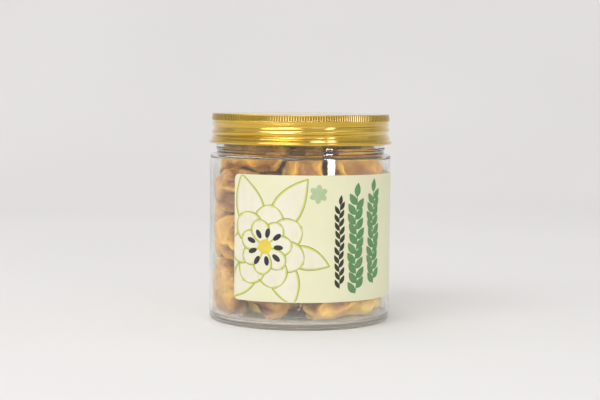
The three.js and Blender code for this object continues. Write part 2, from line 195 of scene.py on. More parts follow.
in_gold = bpy.data.collections.new("mirrored_in_gold")
in_plastic = bpy.data.collections.new("mirrored_in_plastic")
on_gold = {"mirrored_in": in_gold, "shape": "ELLIPSE", "colour": BLUISH}
for name, size, brightness in (
        ("card_heart", (0.8, 0.12), 30.0),
        ("card_middle", (1.6, 0.15), 5.0),
        ("card_wide", (3.0, 0.2), 1.2)):
    softbox(name, azimuth=-24, elevation=-2.5, distance=1.5, size=size, brightness=brightness, **on_gold)
softbox("flute_card", azimuth=22, elevation=9, distance=1.5, size=(0.5, 0.24),
        brightness=2.2, **on_gold)
softbox("gold_strip", azimuth=39, elevation=14, distance=1.1, size=(0.2, 0.8),
        brightness=1.5, **on_gold)
softbox("plastic_strip", azimuth=39, elevation=24, distance=1.1, size=(0.2, 0.95),
        brightness=20.0, mirrored_in=in_plastic)
softbox("window_softbox", azimuth=-30, elevation=38, distance=1.8, size=(1.5, 1.0),
        brightness=3.0)
softbox("neck_card", azimuth=-95, elevation=42, distance=1.3, size=(1.2, 0.8),
        brightness=5.0, mirrored_in=in_plastic)
front_fill = softbox("front_fill", azimuth=38, elevation=5, distance=2.2, size=(1.4, 1.0),
                     brightness=1.8)
front_fill.visible_glossy = False
softbox("overhead_softbox", azimuth=180, elevation=72, distance=2.0, size=(2.4, 1.6),
        brightness=0.7)

world = bpy.data.worlds.new("grey_room")
world.use_nodes = True
bpy.context.scene.world = world
bpy.context.scene.view_settings.view_transform = "Standard"

# %% [markdown]
# ## Finishes from nodes
# Each finish starts from Blender's Principled shader. Small helpers add a noise
# pattern in real millimetres, a colour ramp, a range and a bump, because every
# finish needs the same three things: a little change of colour, a little change
# of gloss and a little relief. One more lays a tint over a colour.

# %% Helpers for finishes
def new_finish(name, roughness):
    finish = bpy.data.materials.new(name)
    finish.use_nodes = True
    shader = finish.node_tree.nodes["Principled BSDF"]
    shader.inputs["Roughness"].default_value = roughness
    return finish, finish.node_tree, shader


def add_noise(tree, grain, detail=3.0, stretch=(1, 1, 1)):
    """A noise pattern whose patches are about grain millimetres wide, longer along a stretched axis."""
    place = tree.nodes.new("ShaderNodeTexCoord")
    mapping = tree.nodes.new("ShaderNodeMapping")
    mapping.inputs["Scale"].default_value = [1 / (grain * MM * s) for s in stretch]
    pattern = tree.nodes.new("ShaderNodeTexNoise")
    pattern.inputs["Scale"].default_value = 1.0
    pattern.inputs["Detail"].default_value = detail
    tree.links.new(place.outputs["Object"], mapping.inputs["Vector"])
    tree.links.new(mapping.outputs["Vector"], pattern.inputs["Vector"])
    return pattern.outputs["Fac"]


def add_ramp(tree, factor, stops):
    ramp = tree.nodes.new("ShaderNodeValToRGB")
    steps = ramp.color_ramp.elements
    while len(steps) < len(stops):
        steps.new(0.5)
    for step, (position, colour) in zip(steps, stops):
        step.position = position
        step.color = (*colour, 1)
    tree.links.new(factor, ramp.inputs["Fac"])
    return ramp.outputs["Color"]


def add_range(tree, factor, low, high, source=(0.3, 0.7)):
    spread = tree.nodes.new("ShaderNodeMapRange")
    spread.inputs["From Min"].default_value = source[0]
    spread.inputs["From Max"].default_value = source[1]
    spread.inputs["To Min"].default_value = low
    spread.inputs["To Max"].default_value = high
    tree.links.new(factor, spread.inputs["Value"])
    return spread.outputs["Result"]


def add_bump(tree, shader, height, depth, strength=1.0):
    """Relief of about depth millimetres from a height pattern."""
    bump = tree.nodes.new("ShaderNodeBump")
    bump.inputs["Distance"].default_value = depth * MM
    bump.inputs["Strength"].default_value = strength
    tree.links.new(height, bump.inputs["Height"])
    tree.links.new(bump.outputs["Normal"], shader.inputs["Normal"])
    return bump


def multiply(tree, first, second):
    wash = tree.nodes.new("ShaderNodeMix")
    wash.data_type = "RGBA"
    wash.blend_type = "MULTIPLY"
    wash.inputs["Factor"].default_value = 1.0
    tree.links.new(first, wash.inputs[6])
    tree.links.new(second, wash.inputs[7])
    return wash.outputs[2]


def srgb(red, green, blue):
    """A colour as a screen shows it, turned into the linear light that shaders use."""
    shown = np.array((red, green, blue)) / 255
    return tuple(np.where(shown < 0.04045, shown / 12.92, ((shown + 0.055) / 1.055) ** 2.4))


# %% [markdown]
# ## The grey room
# The room is darker at eye level than overhead. Polished metal needs such a
# dark band to mirror, or its grooves and ridges wash out. The ramp reads the
# upward part of each direction, which is 0 at eye level and 1 overhead.

# %% Paint the room
ROOM_AT_EYE = (0.40, 0.40, 0.40)
ROOM_OVERHEAD = (0.68, 0.68, 0.685)
DARK_BELOW, PALE_FROM = 0.16, 0.36


def paint_room():
    tree = world.node_tree
    place = tree.nodes.new("ShaderNodeTexCoord")
    part = tree.nodes.new("ShaderNodeSeparateXYZ")
    tree.links.new(place.outputs["Generated"], part.inputs["Vector"])
    colour = add_ramp(tree, part.outputs["Z"], [(DARK_BELOW, ROOM_AT_EYE), (PALE_FROM, ROOM_OVERHEAD)])
    tree.links.new(colour, tree.nodes["Background"].inputs["Color"])


paint_room()
print("room painted")

# %% [markdown]
# ## Paper of the sweep
# A nearly white matt paper. A very slow noise keeps the tone from being dead
# flat, as real paper under real light never is.

# %% Finish of the sweep
def make_sweep_paper():
    finish, tree, shader = new_finish("sweep_paper", 0.9)
    tone = add_noise(tree, 400, detail=1.0)
    colour = add_ramp(tree, tone, [(0.3, srgb(229, 227, 225)), (0.7, srgb(233, 231, 229))])
    tree.links.new(colour, shader.inputs["Base Color"])
    shader.inputs["Specular IOR Level"].default_value = 0.1
    return finish


paper_sweep.data.materials.append(make_sweep_paper())
print("sweep dressed")

# %% [markdown]
# ## Clear plastic
# The jar is blow-moulded clear plastic, about a millimetre thick. A shader that
# bends light shows the doubled rims and the bright lines in the heel, which
# simple see-through paint can't. The thick foot is painted a little milky and
# warm, a painted glow that stands in for the light the foot gathers. Rays that
# only carry light to the fruit pass straight on, by the Is Shadow Ray switch, so
# the inside isn't dark. A slow ripple in the wall comes from a bump.

# %% Finish of the clear plastic
PLASTIC_BENDS_LIGHT = 1.57
# Painted glow: the foot lets less light through and takes a warm milky tint, standing in for light it
# gathers.
CLEAR_AT_PAINTED_GLOW, CLEAR_ABOVE = 0.84, 0.985
PAINTED_GLOW_TINT, TINT_ABOVE = (0.97, 0.94, 0.86), (0.99, 0.985, 0.965)
SHADOW_TINT = (0.98, 0.98, 0.975, 1)


def make_clear_plastic():
    finish, tree, shader = new_finish("clear_plastic", 0.02)
    shader.inputs["IOR"].default_value = PLASTIC_BENDS_LIGHT
    place = tree.nodes.new("ShaderNodeTexCoord")
    part = tree.nodes.new("ShaderNodeSeparateXYZ")
    tree.links.new(place.outputs["Object"], part.inputs["Vector"])
    # Painted glow: less clear and warmer towards the foot.
    clear = add_range(tree, part.outputs["Z"], CLEAR_AT_PAINTED_GLOW, CLEAR_ABOVE, source=(2 * MM, 10 * MM))
    tree.links.new(clear, shader.inputs["Transmission Weight"])
    glow_fades = add_range(tree, part.outputs["Z"], 0, 1, source=(3 * MM, 8 * MM))
    tint = add_ramp(tree, glow_fades, [(0, PAINTED_GLOW_TINT), (1, TINT_ABOVE)])
    tree.links.new(tint, shader.inputs["Base Color"])
    add_bump(tree, shader, add_noise(tree, 14, detail=1.0, stretch=(1, 1, 2.5)), 0.25, 0.35)
    straight_on = tree.nodes.new("ShaderNodeBsdfTransparent")
    straight_on.inputs["Color"].default_value = SHADOW_TINT
    path = tree.nodes.new("ShaderNodeLightPath")
    switch = tree.nodes.new("ShaderNodeMixShader")
    tree.links.new(path.outputs["Is Shadow Ray"], switch.inputs["Fac"])
    tree.links.new(shader.outputs["BSDF"], switch.inputs[1])
    tree.links.new(straight_on.outputs["BSDF"], switch.inputs[2])
    tree.links.new(switch.outputs["Shader"], tree.nodes["Material Output"].inputs["Surface"])
    return finish


clear_plastic = make_clear_plastic()
print("clear plastic bends light by", PLASTIC_BENDS_LIGHT)

# %% [markdown]
# ## Rounded outlines
# A turned piece is one outline carried round the axis. Its corners are written
# as radius, height and rounding in millimetres, and this helper puts an arc of
# that rounding on each. The control points of a Bezier curve are set by the
# rule that makes it follow a circle.

# %% A helper for outlines
def rounded(corners, steps=6):
    points = [np.array(corners[0][:2], float)]
    for before, corner, after in zip(corners, corners[1:], corners[2:]):
        here = np.array(corner[:2], float)
        arriving = here - np.array(before[:2], float)
        leaving = np.array(after[:2], float) - here
        arriving /= np.linalg.norm(arriving)
        leaving /= np.linalg.norm(leaving)
        turn = math.acos(np.clip(arriving @ leaving, -1, 1))
        reach = corner[2] * math.tan(turn / 2)
        pull = corner[2] * 4 / 3 * math.tan(turn / 4)
        start, end = here - reach * arriving, here + reach * leaving
        for t in np.linspace(0, 1, steps + 1):
            points.append((1 - t) ** 3 * start + 3 * (1 - t) ** 2 * t * (start + pull * arriving)
                          + 3 * (1 - t) * t ** 2 * (end - pull * leaving) + t ** 3 * end)
    points.append(np.array(corners[-1][:2], float))
    return points


print("a rounded corner has", len(rounded([(0, 0), (1, 0, 0.5), (1, 1)])), "points")

# %% [markdown]
# ## Rings about the axis
# Every turned piece is a stack of rings that starts and ends at a point on the
# axis, with the outside running upwards. The radius of each ring may change
# with the angle, which is how a screw thread or a row of flutes is raised from
# the same surface, with no second mesh laid on it.

# %% A helper for turned pieces
def turned(name, outline, columns, relief=None, sharp_from=60):
    """Turns an outline of (radius, height) in mm into a piece with that many columns of points.

    relief takes radii, heights and angles and returns new radii."""
    angles = np.linspace(0, 2 * math.pi, columns, endpoint=False)
    rings = np.array(outline[1:-1])
    radii = np.repeat(rings[:, :1], columns, axis=1)
    heights = np.repeat(rings[:, 1:], columns, axis=1)
    if relief:
        radii = relief(radii, heights, angles)
    skin = np.stack([radii * np.sin(angles), -radii * np.cos(angles), heights], axis=-1)
    ends = [[0, 0, outline[0][1]], [0, 0, outline[-1][1]]]
    points = np.concatenate([ends, skin.reshape(-1, 3)]) * MM
    here = np.arange(columns)
    beside = (here + 1) % columns
    faces = []
    for k in range(len(rings) - 1):
        low, high = 2 + k * columns, 2 + (k + 1) * columns
        faces += np.stack([low + here, low + beside, high + beside, high + here], 1).tolist()
    top = 2 + (len(rings) - 1) * columns
    faces += np.stack([np.zeros_like(here), 2 + beside, 2 + here], 1).tolist()
    faces += np.stack([top + here, top + beside, np.ones_like(here)], 1).tolist()
    return new_piece(name, points.tolist(), faces, sharp_from)


print("turned pieces are ready to make")

# %% [markdown]
# ## The jar
# The outline runs from the middle of the stepped base, round the small heel,
# up the wall, over the shoulder and the support bead, up the threaded neck and
# over the rim, and back down the inside. The thread climbs one turn and fades
# out at both ends. The overall radius and height come from the frame.

# %% Measures of the jar
jar_low, jar_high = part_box("jar")
WALL_RADIUS = jar_high.x / MM
RIM_TOP = jar_high.z / MM
WALL = 0.9
BORE = WALL_RADIUS - WALL
NECK = 39.4
THREADED_NECK = 39.6
NECK_BORE = 37.8
SHOULDER = 78.6
NECK_BEAD = 81.2
SCREW_PITCH = 4.23
SCREW_AT_FRONT = 89.8
THREAD_FROM, THREAD_TO, THREAD_FADE = -150, 210, 22
THREAD_ROWS_FROM, THREAD_ROWS_TO, THREAD_ROW = 82.8, 95.4, 0.36
THREAD_RISE = 1.8
THREAD_FOOT, THREAD_CREST = 1.13, 0.35
JAR_COLUMNS = 288
print("jar radius and height in mm:", round(WALL_RADIUS, 2), round(RIM_TOP, 2))


# %% Raise the screw thread
def smooth(share):
    share = np.clip(share, 0, 1)
    return share * share * (3 - 2 * share)


def along_screw(angles, heights, start, end, fade):
    """Yields, for each turn of a screw, the height above its middle and how full it is, from 0 to 1."""
    degrees = np.degrees(angles)
    for turn in (-360, 0, 360):
        here = degrees + turn
        full = smooth(np.minimum(here - start, end - here) / fade)
        yield heights - (SCREW_AT_FRONT + SCREW_PITCH * here / 360), full


def neck_thread(radii, heights, angles):
    on_neck = (radii > THREADED_NECK - 0.01) & (heights > NECK_BEAD + 0.6)
    for above, full in along_screw(angles, heights, THREAD_FROM, THREAD_TO, THREAD_FADE):
        crest = smooth((THREAD_FOOT - np.abs(above)) / (THREAD_FOOT - THREAD_CREST))
        radii = radii + on_neck * THREAD_RISE * crest * full
    return radii


# %% Turn the jar
def make_jar():
    outside = rounded([
        (0, 2.4), (20.2, 2.4, 0.8), (21.0, 1.8, 0.8), (27.7, 1.8, 0.8), (28.5, 1.2, 0.8),
        (34.4, 1.2, 0.6), (35.6, 0, 0.5), (WALL_RADIUS, 0, 2.5), (WALL_RADIUS, SHOULDER - 0.1, 1.6),
        (NECK, SHOULDER + 0.45, 0.35), (NECK, NECK_BEAD - 0.6, 0.2),
        (NECK + 0.55, NECK_BEAD - 0.2, 0.2), (NECK + 0.55, NECK_BEAD + 0.25, 0.2),
        (THREADED_NECK, NECK_BEAD + 0.6, 0.2), (THREADED_NECK, NECK_BEAD + 1.2),
    ])
    rows = np.arange(THREAD_ROWS_FROM, THREAD_ROWS_TO, THREAD_ROW)
    threaded = [(THREADED_NECK, height) for height in rows]
    inside = rounded([
        (THREADED_NECK, THREAD_ROWS_TO), (THREADED_NECK, RIM_TOP, 0.5), (NECK_BORE, RIM_TOP, 0.5),
        (NECK_BORE, 79.3, 1.4), (BORE, 77.2, 1.2), (BORE, 2.7, 2.5), (29.5, 2.7, 1.5),
        (20.0, 3.9, 2.0), (0, 3.9),
    ])
    return turned("clear_jar", [*outside, *threaded, *inside], JAR_COLUMNS, neck_thread)


clear_jar = make_jar()
clear_jar.data.materials.append(clear_plastic)
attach(clear_jar, "jar")
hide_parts("jar")
in_plastic.objects.link(clear_jar)
report(clear_jar)

# %% [markdown]
# ## Gold aluminium
# The lid is thin aluminium, dyed gold in its oxide skin and left clear on top.
# That is a rough metal with a thin glassy coat: the metal tints what it
# mirrors, and the coat adds the white of the lamps, so that highlights turn
# cream. Fine noise stands for the grain that rolling leaves in the sheet.

# %% Finish of the gold aluminium
def make_gold():
    finish, tree, shader = new_finish("gold_aluminium", 0.24)
    tone = add_noise(tree, 9, detail=2.0)
    colour = add_ramp(tree, tone, [(0.35, srgb(214, 174, 38)), (0.65, srgb(221, 182, 48))])
    tree.links.new(colour, shader.inputs["Base Color"])
    shader.inputs["Metallic"].default_value = 1.0
    gloss = add_noise(tree, 1.6, detail=3.0, stretch=(1, 1, 0.4))
    tree.links.new(add_range(tree, gloss, 0.12, 0.18), shader.inputs["Roughness"])
    shader.inputs["Coat Weight"].default_value = 1.0
    shader.inputs["Coat IOR"].default_value = 1.6
    shader.inputs["Coat Roughness"].default_value = 0.08
    add_bump(tree, shader, add_noise(tree, 0.5, detail=2.0), 0.012)
    return finish


gold_aluminium = make_gold()
print("gold ready")

# %% [markdown]
# ## The lid
# One sheet of metal is pressed into a flat disc and a skirt, its grip is fluted
# by a toothed roller, the screw is rolled in from outside, and the raw edge is
# curled out and under. All of it is one outline, with the screw and the flutes
# as relief. Each flute is three columns of points, two on its crest and one in
# the groove, so all of them are drawn alike. The screw shows as a bead that
# winds down into the ring above the curl, with a notch where it runs out.

# %% Measures of the lid
lid_low, lid_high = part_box("lid")
LID_TOP = lid_high.z / MM
LID_BOTTOM = lid_low.z / MM
CURL = lid_high.x / MM
SHEET = 0.35
SKIRT = 41.1
RING_FROM, SKIRT_FROM, SKIRT_TO = 85.9, 86.95, 92.6
SKIRT_FLARE, SKIRT_FLARES_FROM, SKIRT_FLARES_OVER = 0.28, 91.0, 1.6
GRIP = 41.65
GRIP_RISE = 0.27
GRIP_FROM = 94.1
FLUTES = 216
FLUTE_FORM = (0.95, 0.95, 0.0)
FLUTES_GROW_OVER, FLUTES_END_IN, FLUTES_FADE_OVER = 0.25, 0.75, 0.6
PANEL_SUNK = 0.12
BEAD_FROM, BEAD_TO, BEAD_FADE = -360, 300, 50
BEAD_RISE = 1.0
BEAD_BELOW = 0.35
BEAD_FOOT, BEAD_CREST = 2.3, 0.1
RUN_OUT_FROM, RUN_OUT_TO, RUN_OUT_FADE = 2, 150, 26
RUN_OUT_ABOVE, RUN_OUT_HALF, RUN_OUT_CUT = 0.5, 0.95, 0.45
print("lid in mm: bottom", round(LID_BOTTOM, 2), "top", round(LID_TOP, 2), "curl", round(CURL, 2))


# %% Roll in the screw and the flutes
def lid_relief(radii, heights, angles):
    on_skirt = (heights > SKIRT_FROM) & (heights < SKIRT_TO + 0.3)
    bead = np.zeros_like(radii)
    for above, full in along_screw(angles, heights, BEAD_FROM, BEAD_TO, BEAD_FADE):
        away = np.abs(above + BEAD_BELOW)
        bead = bead + BEAD_RISE * full * smooth((BEAD_FOOT - away) / (BEAD_FOOT - BEAD_CREST))
    for above, full in along_screw(angles, heights, RUN_OUT_FROM, RUN_OUT_TO, RUN_OUT_FADE):
        notch = smooth(1 - np.abs(above - RUN_OUT_ABOVE) / RUN_OUT_HALF)
        bead = bead - RUN_OUT_CUT * BEAD_RISE * notch * full
    flare = SKIRT_FLARE * np.clip((heights - SKIRT_FLARES_FROM) / SKIRT_FLARES_OVER, 0, 1)
    radii = radii + on_skirt * (bead + flare)
    # The outline runs down the inside first, so all that comes after its lowest point is outside
    outside = np.cumsum(heights < LID_BOTTOM + 0.1, axis=0) > 0
    wall = np.where(outside, SKIRT, SKIRT - SHEET)
    by_ring = (heights > RING_FROM) & (heights <= SKIRT_FROM)
    radii = np.where(by_ring, np.maximum(radii, wall + bead), radii)
    outer_face = (heights > LID_TOP - SHEET - 0.01) | (radii > GRIP - SHEET + 0.01)
    grown = smooth((heights - GRIP_FROM) / FLUTES_GROW_OVER)
    faded = smooth((radii - GRIP + FLUTES_END_IN) / FLUTES_FADE_OVER)
    flute = np.resize(FLUTE_FORM, len(angles))
    return radii + GRIP_RISE * flute * (grown * faded) * outer_face


# %% Turn the lid
def make_lid():
    inner = SKIRT - SHEET
    ceiling = rounded([
        (0, LID_TOP - SHEET), (GRIP - SHEET, LID_TOP - SHEET, 0.5), (GRIP - SHEET, 93.8, 0.3),
        (inner, SKIRT_TO, 0.6), (inner, 92.2),
    ], steps=4)
    inner_screw = [(inner, height) for height in np.arange(91.9, 87.3, -0.4)]
    hem = rounded([
        (inner, SKIRT_FROM), (41.0, 86.75, 0.1), (41.25, 86.55, 0.1), (41.5, 86.34, 0.1),
        (41.8, 86.1, 0.3), (41.8, LID_BOTTOM + 0.4, 0.25),
        (42.2, LID_BOTTOM, 0.25), (CURL, LID_BOTTOM, 0.85), (CURL, LID_BOTTOM + 1.5, 0.6),
        (42.25, LID_BOTTOM + 1.55, 0.12), (42.3, 86.25, 0.6), (41.7, 86.75, 0.25),
        (SKIRT, 86.85, 0.12), (SKIRT, SKIRT_FROM + 0.05),
    ], steps=3)
    outer_screw = [(SKIRT, height) for height in np.arange(87.15, SKIRT_TO - 0.5, 0.21)]
    grip = rounded([
        (SKIRT, SKIRT_TO - 0.5), (SKIRT, SKIRT_TO - 0.35, 0.2), (GRIP - 0.14, 92.95, 0.35),
        (GRIP - 0.08, 93.85, 0.1), (GRIP, GRIP_FROM, 0.1), (GRIP - 0.02, GRIP_FROM + 0.1),
    ], steps=3)
    flutes = [(GRIP - 0.1 * (height - GRIP_FROM), height) for height in (94.3, 94.5, 95.3, 96.1, 96.7)]
    panel = [(radius, LID_TOP - PANEL_SUNK) for radius in (38.5, 36, 0)]
    rim = rounded([
        (GRIP - 0.27, 96.8), (GRIP - 0.33, LID_TOP, 0.5), (40.2, LID_TOP, 0.6),
        (39.3, LID_TOP - PANEL_SUNK, 0.6), panel[0],
    ], steps=4)
    outline = [*ceiling, *inner_screw, *hem, *outer_screw, *grip, *flutes, *rim, *panel[1:]]
    return turned("gold_lid", outline, FLUTES * len(FLUTE_FORM), lid_relief, sharp_from=35)


gold_lid = make_lid()
gold_lid.data.materials.append(gold_aluminium)
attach(gold_lid, "lid")
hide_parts("lid")
in_gold.objects.link(gold_lid)
report(gold_lid)

# %% [markdown]
# ## The foam liner
# A disc of white foam sits loose under the top of the lid and seals on the rim.
# It shows only when the lid is screwed up. Its edge is cut, so it is slightly
# rounded, and the pores are a bump.

# %% Make the liner
liner_low, liner_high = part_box("lid_liner")


def make_foam():
    finish, tree, shader = new_finish("foam", 0.75)
    pores = add_noise(tree, 0.7, detail=3.0)
    colour = add_ramp(tree, pores, [(0.3, srgb(224, 223, 218)), (0.7, srgb(242, 241, 237))])
    tree.links.new(colour, shader.inputs["Base Color"])
    add_bump(tree, shader, pores, 0.08)
    return finish


def make_liner():
    low, high, edge = liner_low.z / MM, liner_high.z / MM, liner_high.x / MM
    outline = rounded([(0, low), (edge, low, 0.25), (edge, high, 0.25), (0, high)])
    return turned("foam_liner", outline, 160)


foam_liner = make_liner()
foam_liner.data.materials.append(make_foam())
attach(foam_liner, "liner")
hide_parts("lid_liner")
report(foam_liner)

# %% [markdown]
# ## Sheets bent round the wall
# The label and everything printed on it are thin plates that follow the wall. A
# plate is drawn flat, in millimetres across and up from the front of the jar,
# as a grid of points, and then wrapped. Giving ink a little thickness makes it
# a real shape, so it stays crisp at any size and needs no picture.

# %% A helper for wrapped plates
LABEL_BACK = WALL_RADIUS + 0.05
LABEL_FACE = LABEL_BACK + 0.12
NO_AREA = 1e-9


def wrap(across, up, radius):
    """Points on the wall at a radius, from flat millimetres measured on the label's face."""
    angle = across / LABEL_FACE
    return np.stack([radius * np.sin(angle), -radius * np.cos(angle), up], axis=-1)


def faces_wall(grid):
    """Whether a grid runs the way round that would turn its plate's face inwards."""
    rows, columns = grid.shape[:2]
    along, over = grid[1, 0] - grid[0, 0], grid[0, 1] - grid[0, 0]
    if abs(along[0] * over[1] - along[1] * over[0]) < NO_AREA:
        along = grid[-1, columns // 2] - grid[0, columns // 2]
        over = grid[rows // 2, -1] - grid[rows // 2, 0]
    return along[0] * over[1] - along[1] * over[0] > 0


def add_plate(plates, grid, lift, thickness, inset=None):
    """Adds one plate to a list. grid is rows by columns of (across, up), lift its height off the label."""
    grid = np.asarray(grid, float)
    rows, columns = grid.shape[:2]
    if faces_wall(grid):
        grid = grid[:, ::-1]
        inset = None if inset is None else inset[:, ::-1]
    face = wrap(grid[..., 0], grid[..., 1], LABEL_FACE + lift + thickness)
    back = wrap(grid[..., 0], grid[..., 1], LABEL_FACE + lift)
    index = np.arange(rows * columns).reshape(rows, columns)
    under = index + rows * columns
    faces = []
    for r in range(rows - 1):
        for c in range(columns - 1):
            a, b, d, e = index[r, c], index[r, c + 1], index[r + 1, c + 1], index[r + 1, c]
            faces.append((a, b, d, e))
            a, b, d, e = under[r, c], under[r, c + 1], under[r + 1, c + 1], under[r + 1, c]
            faces.append((e, d, b, a))
    border = [*index[0, :-1], *index[:-1, -1], *index[-1, :0:-1], *index[:0:-1, 0]]
    for a, b in zip(border, border[1:] + border[:1]):
        faces.append((a, a + rows * columns, b + rows * columns, b))
    if inset is None:
        inset = np.ones((rows, columns))
    plates.append((np.concatenate([face.reshape(-1, 3), back.reshape(-1, 3)]), faces,
                   np.concatenate([inset.ravel(), inset.ravel()])))


def join_plates(name, plates, finish):
    points, faces, insets, start = [], [], [], 0
    for plate_points, plate_faces, plate_inset in plates:
        points.append(plate_points)
        faces += [[start + i for i in face] for face in plate_faces]
        insets.append(plate_inset)
        start += len(plate_points)
    piece = new_piece(name, (np.concatenate(points) * MM).tolist(), faces, sharp_from=40)
    piece.data.attributes.new("inset", "FLOAT", "POINT").data.foreach_set(
        "value", np.concatenate(insets).astype(np.float32))
    tidy_mesh(piece)
    piece.data.materials.append(finish)
    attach(piece, "jar")
    report(piece)
    return piece


def tidy_mesh(piece, closer_than=1e-7):
    """Welds points that coincide, such as those at the tip of a leaf."""
    work = bmesh.new()
    work.from_mesh(piece.data)
    bmesh.ops.remove_doubles(work, verts=work.verts, dist=closer_than)
    bmesh.ops.dissolve_degenerate(work, edges=work.edges, dist=closer_than)
    work.to_mesh(piece.data)
    work.free()


# %% [markdown]
# ## The label
# A strip of satin coated paper goes most of the way round and leaves a window
# of bare plastic at the left. Its corners are rounded with a die. The sheet is
# drawn as upright columns that get shorter towards the two ends.

# %% Make the label
LABEL_LOW, LABEL_HIGH = 13.1, 70.4
LABEL_LEFT = -44 * DEGREE * LABEL_FACE
LABEL_RIGHT = 250 * DEGREE * LABEL_FACE
LABEL_CORNER = 2.5


def make_label_paper():
    finish, tree, shader = new_finish("label_paper", 0.42)
    tone = add_noise(tree, 22, detail=3.0)
    colour = add_ramp(tree, tone, [(0.35, srgb(232, 230, 193)), (0.65, srgb(236, 234, 201))])
    tree.links.new(colour, shader.inputs["Base Color"])
    fibre = add_noise(tree, 0.22, detail=3.0, stretch=(1, 1, 2))
    tree.links.new(add_range(tree, fibre, 0.38, 0.48), shader.inputs["Roughness"])
    add_bump(tree, shader, fibre, 0.006)
    return finish


def make_label():
    ends = LABEL_CORNER * (1 - np.cos(np.linspace(0, math.pi / 2, 9)))
    middle = np.linspace(LABEL_LEFT + LABEL_CORNER, LABEL_RIGHT - LABEL_CORNER, 150)
    across = np.concatenate([LABEL_LEFT + ends[:-1], middle, LABEL_RIGHT - ends[-2::-1]])
    short = np.clip(1 - np.minimum(across - LABEL_LEFT, LABEL_RIGHT - across) / LABEL_CORNER, 0, 1)
    cut = LABEL_CORNER * (1 - np.sqrt(1 - short ** 2))
    columns = [[(s, LABEL_LOW + c + share * (LABEL_HIGH - LABEL_LOW - 2 * c)) for share in (0, 0.5, 1)]
               for s, c in zip(across, cut)]
    plates = []
    add_plate(plates, columns, LABEL_BACK - LABEL_FACE, LABEL_FACE - LABEL_BACK)
    return join_plates("label_sheet", plates, make_label_paper())


label_sheet = make_label()
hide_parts("label")

# %% [markdown]
# ## Inks
# Print is flat colour with a hint of uneven laydown. One ink varies with the
# inset, which is how far a point lies from the edge of its own petal, so a
# cream petal can have a yellow-green margin and a fine dark outline.

# %% Mix the inks
def make_ink(name, colour, deeper):
    finish, tree, shader = new_finish(name, 0.4)
    tone = add_noise(tree, 5, detail=3.0)
    tree.links.new(add_ramp(tree, tone, [(0.35, deeper), (0.65, colour)]), shader.inputs["Base Color"])
    add_bump(tree, shader, add_noise(tree, 0.25, detail=2.0), 0.004)
    return finish


def make_petal_ink(name, body, margin, line):
    finish, tree, shader = new_finish(name, 0.4)
    inset = tree.nodes.new("ShaderNodeAttribute")
    inset.attribute_name = "inset"
    edge = add_range(tree, inset.outputs["Fac"], 0, 1, source=(0, 4))
    banded = add_ramp(tree, edge, [(0.03, line), (0.07, margin), (0.17, margin), (0.34, body)])
    tone = add_noise(tree, 4, detail=4.0, stretch=(1, 1, 1.6))
    tint = add_ramp(tree, tone, [(0.3, (0.96, 0.94, 0.88)), (0.62, WHITE)])
    tree.links.new(multiply(tree, banded, tint), shader.inputs["Base Color"])
    return finish


CREAM = srgb(238, 234, 214)
petal_ink = make_petal_ink("petal_ink", CREAM, srgb(205, 211, 96), srgb(92, 112, 44))
leaf_ink = make_ink("leaf_green_ink", srgb(104, 152, 98), srgb(92, 142, 88))
twig_ink = make_ink("dark_twig_ink", srgb(58, 60, 46), srgb(46, 48, 38))
bud_ink = make_ink("dark_bud_ink", srgb(56, 57, 58), srgb(36, 38, 42))
pollen_ink = make_ink("yellow_ink", srgb(233, 212, 84), srgb(226, 196, 66))
sage_ink = make_ink("sage_ink", srgb(186, 203, 158), srgb(176, 196, 148))
print("inks:", [m.name for m in bpy.data.materials if m.name.endswith("ink")])

# %% [markdown]
# ## Drawing leaves and petals
# A leaf is a middle line with a width that swells and comes to a point. Rows
# run along it and columns across it, and the same rule with other numbers gives
# a petal, a bud or a stalk.

# %% Helpers for the drawing
def leaf_grid(foot, direction, length, width, bend=0.0, fullest=0.45, blunt=1.0, rows=14, columns=5):
    """Grid and inset of a leaf that leaves foot at an angle in degrees from straight up, leaning right."""
    t = np.linspace(0, 1, rows)
    power = math.log(0.5) / math.log(fullest)
    half = width / 2 * np.sin(math.pi * t ** power) ** blunt
    half[0], half[-1] = 0.04, 0.02
    heading = direction * DEGREE + bend * t
    step = length / (rows - 1)
    middle = np.cumsum(np.stack([np.sin(heading), np.cos(heading)], 1) * step, axis=0)
    middle = np.array(foot) + middle - middle[0]
    side = np.stack([np.cos(heading), -np.sin(heading)], 1)
    over = np.linspace(-1, 1, columns)
    grid = middle[:, None] + over[None, :, None] * half[:, None, None] * side[:, None]
    inset = np.minimum(half[:, None] * (1 - np.abs(over)), (length * (1 - t) * 0.9)[:, None])
    return grid, inset


def stalk_grid(points, width):
    """Grid of an even line through a list of points."""
    points = np.array(points, float)
    run = np.gradient(points, axis=0)
    run /= np.linalg.norm(run, axis=1, keepdims=True)
    side = np.stack([run[:, 1], -run[:, 0]], 1) * width / 2
    return np.stack([points - side, points, points + side], 1)


def disc_grid(centre, radius, tall=1.0, turn=0.0, rows=9, columns=9):
    """Grid of a round or oval spot, drawn as a square pushed out to a circle."""
    u, v = np.meshgrid(np.linspace(-1, 1, columns), np.linspace(-1, 1, rows))
    x, y = u * np.sqrt(1 - v ** 2 / 2), v * np.sqrt(1 - u ** 2 / 2) * tall
    c, s = math.cos(turn * DEGREE), math.sin(turn * DEGREE)
    return np.stack([centre[0] + radius * (x * c + y * s), centre[1] + radius * (y * c - x * s)], -1)


print("leaf rows:", len(leaf_grid((0, 0), 0, 6, 3)[0]))

# %% [markdown]
# ## The printed blossom
# The left of the label carries one large motif. Here it is a generic pale
# blossom with its leaves, drawn as overlapping petals, each lifted a few
# thousandths of a millimetre above the last so that they never flicker.

# %% Print the blossom
BLOSSOM = (-16.0, 38.0)
PETALS = 7
BUDS = 9
INK = 0.02
INK_STEP = 0.008


